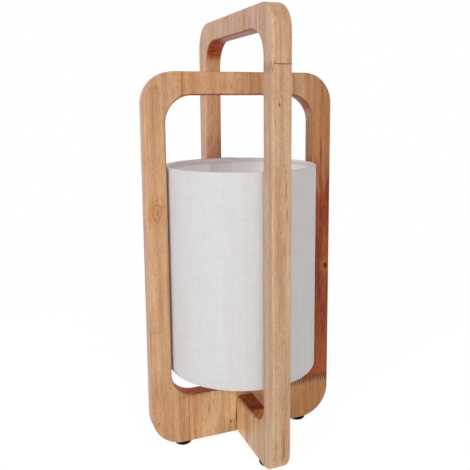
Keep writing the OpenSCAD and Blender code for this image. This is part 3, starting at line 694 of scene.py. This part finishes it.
def metal(name, dark, light, rough, rings, depth=0.02):
    """Bare or plated metal: stained in soft clouds, with some turning marks per mm"""
    material, tree, shader = new_material(name, Metallic=1.0)
    found = use(tree, plated, Place=object_mm(tree), Rings=rings)
    feed(tree, shader, Base_Color=ramp(tree, found["Tone"], [(0.35, dark), (0.65, light)]),
         Roughness=spread(tree, found["Tone"], 0.3, 0.7, rough[0], rough[1]),
         Normal=bump(tree, found["Height"], depth))
    return material


zinc = metal("zinc_steel", paint(168, 172, 178), paint(206, 208, 212), rough=(0.28, 0.42),
             rings=3.0)
dress(mended("foot_screws"), zinc)

# ---- Fixing through the crossing ----
# A threaded brass tube through both boards, a nut with its washer in the recess underneath, and
# a black pressed plate under the holder. The tube screws into the holder's cap and clamps all.
brass = metal("brass", paint(176, 140, 72), paint(226, 192, 120), rough=(0.22, 0.38), rings=4.0)
black_paint = moulded("black_paint", paint(26, 26, 27), paint(36, 36, 37), rough=(0.34, 0.46),
                      grain=4.0, depth=0.03)
dress(mended("tube_nut"), brass)
dress(mended("tube_washer"), zinc)
dress(mended("cover_plate"), black_paint)

turned_smooth_up_to = math.radians(35)


def turned(name, points, steps):
    """A ring from its section, drawn in mm from (radius, height) to the next, and spun round"""
    bpy.ops.object.select_all(action="DESELECT")
    bpy.ops.mesh.primitive_plane_add(size=0.001, location=(0, 0, 0))
    piece = bpy.context.object
    piece.name = name
    bpy.ops.object.mode_set(mode="EDIT")
    bpy.ops.mesh.merge(type="CENTER")
    bpy.ops.transform.translate(value=(points[0][0] / 1000, 0, points[0][1] / 1000))
    for (r0, z0), (r1, z1) in zip(points, points[1:] + points[:1]):
        step = ((r1 - r0) / 1000, 0, (z1 - z0) / 1000)
        bpy.ops.mesh.extrude_region_move(TRANSFORM_OT_translate={"value": step})
    bpy.ops.mesh.select_all(action="SELECT")
    bpy.ops.mesh.remove_doubles(threshold=merge_within)
    bpy.ops.mesh.spin(steps=steps, angle=2 * math.pi, center=(0, 0, 0), axis=(0, 0, 1))
    bpy.ops.mesh.select_all(action="SELECT")
    bpy.ops.mesh.remove_doubles(threshold=merge_within)
    bpy.ops.mesh.normals_make_consistent(inside=False)
    bpy.ops.object.mode_set(mode="OBJECT")
    bpy.ops.object.shade_smooth_by_angle(angle=turned_smooth_up_to)
    piece.select_set(False)
    return piece


def rows(start, end, count):
    """Points of a section along a straight side, with the first and without the last"""
    return [(start[0] + (end[0] - start[0]) * i / count, start[1] + (end[1] - start[1]) * i / count)
            for i in range(count)]


def cut_thread(piece, radii, low, high, pitch, depth, fade, lead=0.0):
    """Moves what lies between two radii in or out along a helix, fading at the thread's ends.
    Lead: how many turns the helix is ahead"""
    for v in piece.data.vertices:
        radius = math.hypot(v.co.x, v.co.y) * 1000
        z = v.co.z * 1000
        if radii[0] <= radius <= radii[1] and low < z < high:
            turn = lead + z / pitch - math.atan2(v.co.y, v.co.x) / (2 * math.pi)
            reach = min(1.0, (z - low) / fade, (high - z) / fade)
            moved = radius + depth * reach * (1 - math.cos(2 * math.pi * turn)) / 2
            v.co.x *= moved / radius
            v.co.y *= moved / radius


def carve(piece, cutter):
    """Cuts a cutter's shape out of a piece, and takes the cutter away"""
    cut = piece.modifiers.new("cut", "BOOLEAN")
    cut.operation = "DIFFERENCE"
    cut.solver = "EXACT"
    cut.object = cutter
    bpy.ops.object.select_all(action="DESELECT")
    piece.select_set(True)
    bpy.context.view_layer.objects.active = piece
    bpy.ops.object.modifier_apply(modifier=cut.name)
    bpy.ops.object.shade_smooth_by_angle(angle=smooth_up_to)
    piece.select_set(False)
    bpy.data.objects.remove(cutter)


tube_low, tube_high = 12.0, 65.5
tube_out, tube_in = 5.0, 3.8
tube_rows, tube_steps = 214, 40

# A thread moves only what lies near its radius
near = 0.1
tube = turned("threaded_tube_cut", rows((tube_out, tube_low), (tube_out, tube_high), tube_rows)
              + [(tube_out, tube_high), (tube_in, tube_high), (tube_in, tube_low)], tube_steps)
cut_thread(tube, (tube_out - near, tube_out + near), tube_low, tube_high, pitch=1.0, depth=-0.45,
           fade=0.6)
dress(tube, brass)
stand_in(tube, "threaded_tube")

# ---- Lamp holder ----
# A black phenolic E27 holder: a cap with the terminals under a moulded core, a metal screw
# sleeve with a bent tongue in it, and a skirt with a fluted grip and the shade ring's thread.
bakelite = moulded("black_bakelite", paint(20, 20, 21), paint(32, 31, 31), rough=(0.24, 0.36),
                   grain=1.4, depth=0.015)
ceramic = moulded("core_ceramic", paint(216, 210, 196), paint(234, 230, 220), rough=(0.5, 0.7),
                  grain=3.0, depth=0.05)
dress(mended("holder_cap"), bakelite)
dress(mended("holder_core"), ceramic)
dress(mended("terminal_blocks"), brass)
dress(mended("terminal_screws"), zinc)
dress(mended("centre_contact"), brass)

skirt = mended("holder_skirt")
dress(skirt, bakelite)

# Each thread is on a cutter, which is taken out of the skirt's side or of the ring's bore
skirt_r, skirt_low, skirt_high = 19.8, 90.6, 111.6
cutter_in, cutter_out = skirt_r + 0.06, skirt_r + 1.2
skirt_rows, ring_rows, round_steps = 84, 30, 96
shade_thread_pitch = 2.0
cutter = turned("skirt_cutter", rows((cutter_in, skirt_low), (cutter_in, skirt_high), skirt_rows)
                + [(cutter_in, skirt_high), (cutter_out, skirt_high), (cutter_out, skirt_low)],
                round_steps)
cut_thread(cutter, (skirt_r, skirt_r + near), skirt_low, skirt_high, shade_thread_pitch,
           depth=-0.55, fade=1.5)
carve(skirt, cutter)

ring = mended("shade_ring")
dress(ring, bakelite)
ring_r, ring_low, ring_high = 19.82, 90.3, 97.7
cutter_in = ring_r - 1.2
cutter = turned("ring_cutter", rows((ring_r, ring_low), (ring_r, ring_high), ring_rows)
                + [(ring_r, ring_high), (cutter_in, ring_high), (cutter_in, ring_low)],
                round_steps)
cut_thread(cutter, (ring_r - near, ring_r + near), ring_low, ring_high, shade_thread_pitch,
           depth=0.50, fade=0.8)
carve(ring, cutter)

# The sleeve's thread ends 1 mm above its foot, and runs out through its mouth
sleeve_low, sleeve_high = 82.0, 112.0
sleeve_out, sleeve_in = 14.2, 13.7
sleeve_rows = 90
bulb_thread_pitch = 3.6
sleeve = turned("screw_sleeve_rolled",
                rows((sleeve_out, sleeve_low), (sleeve_out, sleeve_high), sleeve_rows)
                + [(sleeve_out, sleeve_high)]
                + rows((sleeve_in, sleeve_high), (sleeve_in, sleeve_low), sleeve_rows)
                + [(sleeve_in, sleeve_low)], round_steps)
cut_thread(sleeve, (sleeve_in - near, sleeve_out + near), sleeve_low + 1, sleeve_high + 1,
           bulb_thread_pitch, depth=-0.4, fade=2.0, lead=0.5)
dress(sleeve, brass)
stand_in(sleeve, "screw_sleeve")

# ---- Shade ----
# A drum of linen on a stiff white film, turned in over two white wire rings. The lower ring
# carries three arms and the fitter ring, which lies on the holder's shoulder under the shade
# ring. The linen laps over itself in a seam at the back.

# What ends in _at, _face or _r is a radius, from the lamp's axis or of a bend. What ends in _down
# or _h is a depth from the shade's edge. Seam and arms are placed by degrees.
shade_low, shade_high = 84.0, 300.0
cloth_face, cloth_thick = 79.7, 0.5
wire_at, wire_down, wrap_r = 77.67, 1.83, 1.53
hem_at, tuck_down, hem_h = 78.57, 4.5, 5.8
tuck_in, tuck_up = 1.2, 0.7
edge_r = 0.55
hem_deepest, hem_shallower = 1.14, 0.26
seam_turn, seam_width = 75.0, 12.0
seam_lift, lift_columns = 0.62, 4
arm_angles = (90, 210, 330)
slit_half, slit_above, whole_rows = 1.3, 0.5, 6
columns, face_rows = 360, 24


def arc_points(centre, radius, start, end, count):
    """Points on an arc, from one angle in degrees to another"""
    return [(centre[0] + radius * math.cos(math.radians(start + (end - start) * i / count)),
             centre[1] + radius * math.sin(math.radians(start + (end - start) * i / count)))
            for i in range(count + 1)]


# Half of the cloth's section, as (radius, depth from the shade's edge): the hem, the tuck above
# the wire, the turn round it and the outer corner
hem = [(hem_at, hem_h), (hem_at, (hem_h + tuck_down) / 2), (hem_at, tuck_down)]
tuck = [(hem_at - tuck_in, tuck_down - tuck_up)]
wrap = arc_points((wire_at, wire_down), wrap_r, start=-200, end=-90, count=9)
corner = arc_points((cloth_face - edge_r, wire_down - wrap_r + edge_r), edge_r, start=-90, end=0,
                    count=4)
half = hem + tuck + wrap + corner
face_low, face_high = half[-1][1], shade_high - shade_low - half[-1][1]
section = ([(r, shade_low + d) for r, d in half]
           + [(cloth_face, shade_low + face_low + (face_high - face_low) * i / face_rows)
              for i in range(1, face_rows)]
           + [(r, shade_high - d) for r, d in reversed(half)])

# How far along the cloth each point of the section is
run = [0.0]
for first, second in zip(section, section[1:]):
    run.append(run[-1] + math.dist(first, second))
section_length = run[-1]
column_turn = 2 * math.pi / columns
seam_columns = round(seam_width / cloth_face / column_turn)

mesh = bpy.data.meshes.new("linen")
linen = bpy.data.objects.new("shade_linen_sewn", mesh)
bpy.context.scene.collection.objects.link(linen)
sheet = bmesh.new()
uv_layer = sheet.loops.layers.uv.new("Cloth")

# It starts at the seam and goes once round. The lap lies on the start, and the hem gets a little
# shallower on the way round.
grid = []
for c in range(columns + seam_columns + 1):
    turn = math.radians(seam_turn) + c * column_turn
    lift = seam_lift * min(1.0, max(0.0, (c - columns + lift_columns) / lift_columns))
    hem_share = hem_deepest - hem_shallower * min(1.0, c / columns)
    column = []
    for i, (r, z) in enumerate(section):
        if i < len(hem):
            z = shade_low + (z - shade_low) * hem_share
        if i >= len(section) - len(hem):
            z = shade_high - (shade_high - z) * hem_share
        before, after = section[max(i - 1, 0)], section[min(i + 1, len(section) - 1)]
        along = Vector((after[0] - before[0], after[1] - before[1])).normalized()
        r_out, z_out = r + lift * along.y, z - lift * along.x
        place = (r_out * math.cos(turn), r_out * math.sin(turn), z_out)
        column.append(sheet.verts.new([mm / 1000 for mm in place]))
    grid.append(column)

# The lower hem and the turn round the wire are slit where an arm passes through them. The turn's
# last rows stay whole.
slit_rows = len(half) - whole_rows
for c in range(columns + seam_columns):
    turn = math.radians(seam_turn) + (c + 0.5) * column_turn
    from_arms = [abs((turn - math.radians(arm) + math.pi) % (2 * math.pi) - math.pi) * cloth_face
                 for arm in arm_angles]
    for i in range(len(section) - 1):
        middle_z = (section[i][1] + section[i + 1][1]) / 2
        if min(from_arms) < slit_half and i < slit_rows and middle_z > shade_low + slit_above:
            continue
        corners = ((c, i), (c + 1, i), (c + 1, i + 1), (c, i + 1))
        face = sheet.faces.new([grid[col][row] for col, row in corners])
        face.smooth = True
        for loop, (col, row) in zip(face.loops, corners):
            loop[uv_layer].uv = (col * column_turn * cloth_face / 1000, run[row] / 1000)
sheet.to_mesh(mesh)
sheet.free()
bpy.context.view_layer.objects.active = linen
linen.select_set(True)
thick = linen.modifiers.new("cloth", "SOLIDIFY")
thick.thickness = cloth_thick / 1000
thick.offset = 0
bpy.ops.object.modifier_apply(modifier=thick.name)
linen.select_set(False)
stand_in(linen, "shade_linen")


def light_passes(material, share):
    """Lets a share of the light through each face of thin cloth or film, into the shade"""
    tree = material.node_tree
    out = next(node for node in tree.nodes if node.type == "OUTPUT_MATERIAL")
    shader = out.inputs["Surface"].links[0].from_socket
    passing = calc(tree, "MULTIPLY", add(tree, "LightPath").outputs["Is Shadow Ray"], share)
    clear = add(tree, "BsdfTransparent").outputs[0]
    both = add(tree, "MixShader", (0, passing), (1, shader), (2, clear)).outputs[0]
    tree.links.new(both, out.inputs["Surface"])


# Uneven yarns and slubs run both ways. Creases down the drum are painted shade, in soft light
# and dark bands. The turned-in edges are painted lighter: a painted light on the hem
yarn_pitch = 0.7
slub_dark = 0.036
# Where the painted light on the hem begins and where it is full, in mm from the cloth's edges
hem_light_from, hem_light_full = 9.0, 7.5
linen_white, painted_hem_white = paint(217, 215, 215), paint(247, 239, 238)
linen_cloth, tree, shader = new_material("linen", IOR=1.4)
shader.inputs["Sheen Weight"].default_value = 0.10
uv = vector(tree, "SCALE", add(tree, "UVMap", uv_map="Cloth").outputs[0], Scale=1000.0)
weft = noise(tree, uv, (0.05, 1.6, 1), 3.0, 0.6).outputs[0]
warp = noise(tree, uv, (1.6, 0.05, 1), 3.0, 0.6, (31, 7, 0)).outputs[0]
slub_weft = spread(tree, noise(tree, uv, (0.03, 0.60, 1), 2.0, 0.6, (5, 60, 0)).outputs[0],
                   0.48, 0.74)
slub_warp = spread(tree, noise(tree, uv, (0.60, 0.03, 1), 2.0, 0.6, (80, 2, 0)).outputs[0],
                   0.48, 0.74)
yarns = calc(tree, "ADD", weft, warp)
tone = calc(tree, "SUBTRACT", spread(tree, yarns, 0.7, 1.3, 0.975, 1.02),
            calc(tree, "MULTIPLY", calc(tree, "ADD", slub_weft, slub_warp), slub_dark))
# Painted shade: soft creases as light and dark bands, in which the blue varies a little more
painted_crease_shade = noise(tree, uv, (0.13, 0.004, 1), 3.0, 0.6, (11, 90, 0)).outputs[0]
tone = calc(tree, "MULTIPLY", tone, spread(tree, painted_crease_shade, 0.3, 0.7, 0.985, 1.012))
crease_shade_blue = calc(tree, "MULTIPLY", tone, spread(tree, painted_crease_shade, 0.3, 0.7, 0.985, 1.01))
spot = add(tree, "SeparateXYZ", (0, uv)).outputs
from_middle = calc(tree, "ABSOLUTE", calc(tree, "SUBTRACT", spot[1], section_length / 2))
# Painted light: the cloth is lighter near its edges, on the hem
painted_hem_light = spread(tree, from_middle, section_length / 2 - hem_light_from,
               section_length / 2 - hem_light_full)
colour = mixed(tree, 1.0, mixed(tree, painted_hem_light, linen_white, painted_hem_white),
               add(tree, "CombineColor", (0, tone), (1, tone), (2, crease_shade_blue)).outputs[0],
               "MULTIPLY")
across_yarn = calc(tree, "SINE", calc(tree, "MULTIPLY", spot[0], 2 * math.pi / yarn_pitch))
along_yarn = calc(tree, "SINE", calc(tree, "MULTIPLY", spot[1], 2 * math.pi / yarn_pitch))
weave = calc(tree, "MULTIPLY", across_yarn, along_yarn)
height = calc(tree, "ADD", calc(tree, "MULTIPLY", weave, 0.25),
              calc(tree, "ADD", yarns, calc(tree, "ADD", slub_weft, slub_warp)))
feed(tree, shader, Base_Color=colour, Normal=bump(tree, height, 0.15),
     Roughness=spread(tree, yarns, 0.7, 1.3, 0.85, 0.95))
dress(linen, linen_cloth)

# Painted shadow: the film is dimmer at its lap, and in a strip beside it where the linen's lap
# lies behind it. Both are placed by degrees
film_lap_turn, lap_shadow_strip_turn = 91.0, 85.0
film, tree, shader = new_material("liner_film")
found = use(tree, skin, Place=object_mm(tree), Grain=0.5)
spot = add(tree, "SeparateXYZ", (0, object_mm(tree))).outputs
turn = calc(tree, "MULTIPLY", calc(tree, "ARCTAN2", spot[1], spot[0]), 180 / math.pi)
from_lap = calc(tree, "ABSOLUTE", calc(tree, "SUBTRACT", turn, film_lap_turn))
from_strip = calc(tree, "ABSOLUTE", calc(tree, "SUBTRACT", turn, lap_shadow_strip_turn))
# Painted shadow of the two laps, seen through the film
painted_lap_shadow = calc(tree, "ADD", spread(tree, from_lap, 2.0, 6.0, 0.35, 0.0),
           spread(tree, from_strip, 9.5, 10.5, 0.25, 0.0))
clean = ramp(tree, found["Mottle"], [(0.35, paint(250, 246, 247)), (0.70, paint(254, 251, 252))])
feed(tree, shader, Base_Color=mixed(tree, painted_lap_shadow, clean, paint(228, 220, 221)),
     Roughness=spread(tree, found["Mottle"], 0.3, 0.7, 0.5, 0.6),
     Normal=bump(tree, found["Height"], 0.02))
light_passes(linen_cloth, share=0.94)
light_passes(film, share=0.97)
powder = moulded("white_wire", paint(226, 225, 222), paint(238, 237, 234), rough=(0.35, 0.5),
                 grain=3.5, depth=0.03)
dress(mended("shade_liner"), film)
dress(mended("shade_top_ring"), powder)
dress(mended("shade_carrier"), powder)

# ---- Bulb ----
# A clear E27 filament bulb: a blown globe on a nickelled screw cap, a black glass insulator with
# a soldered contact, and a glass mount with four coated filaments on their wires. It is unlit.
glass, tree, shader = new_material("bulb_glass", IOR=1.47, Roughness=0.0)
shader.inputs["Transmission Weight"].default_value = 1.0
dress(mended("bulb_globe"), glass)
dress(mended("bulb_stem"), glass)
nickel = metal("nickel", paint(186, 184, 178), paint(220, 217, 210), rough=(0.2, 0.35), rings=2.0)

# Above its rolled thread the cap flares out and takes the globe's neck
cap_foot, thread_low, thread_high = 94.0, 94.4, 108.8
cap_out, cap_in = 12.6, 12.2
flare_low, flare_high, flare_out, flare_in = 111.0, 114.0, 13.8, 13.43
flare_lip = 0.5
cap_rows = 48
cap = turned("bulb_cap_rolled",
             [(cap_in, cap_foot), (cap_out, cap_foot)]
             + rows((cap_out, thread_low), (cap_out, thread_high), cap_rows)
             + [(cap_out, thread_high), (cap_out, flare_low), (flare_out, flare_high),
                (flare_in, flare_high), (flare_in, flare_high - flare_lip), (cap_in, flare_low)]
             + rows((cap_in, thread_high), (cap_in, thread_low), cap_rows)
             + [(cap_in, thread_low)], round_steps)
cut_thread(cap, (cap_in - near, cap_out + near), thread_low, thread_high, bulb_thread_pitch,
           depth=0.6, fade=2.0)
dress(cap, nickel)
stand_in(cap, "bulb_cap")
vitrite = moulded("insulator_glass", paint(14, 14, 20), paint(24, 24, 32), rough=(0.1, 0.2),
                  grain=1.0, depth=0.01)
dress(mended("bulb_insulator"), vitrite)
solder = metal("solder", paint(150, 150, 150), paint(196, 196, 196), rough=(0.4, 0.6), rings=0.3,
               depth=0.1)
dress(mended("bulb_tip"), solder)
filament = moulded("filament", paint(226, 168, 48), paint(244, 200, 90), rough=(0.6, 0.8),
                   grain=2.0, depth=0.1)
dress(mended("bulb_filaments"), filament)
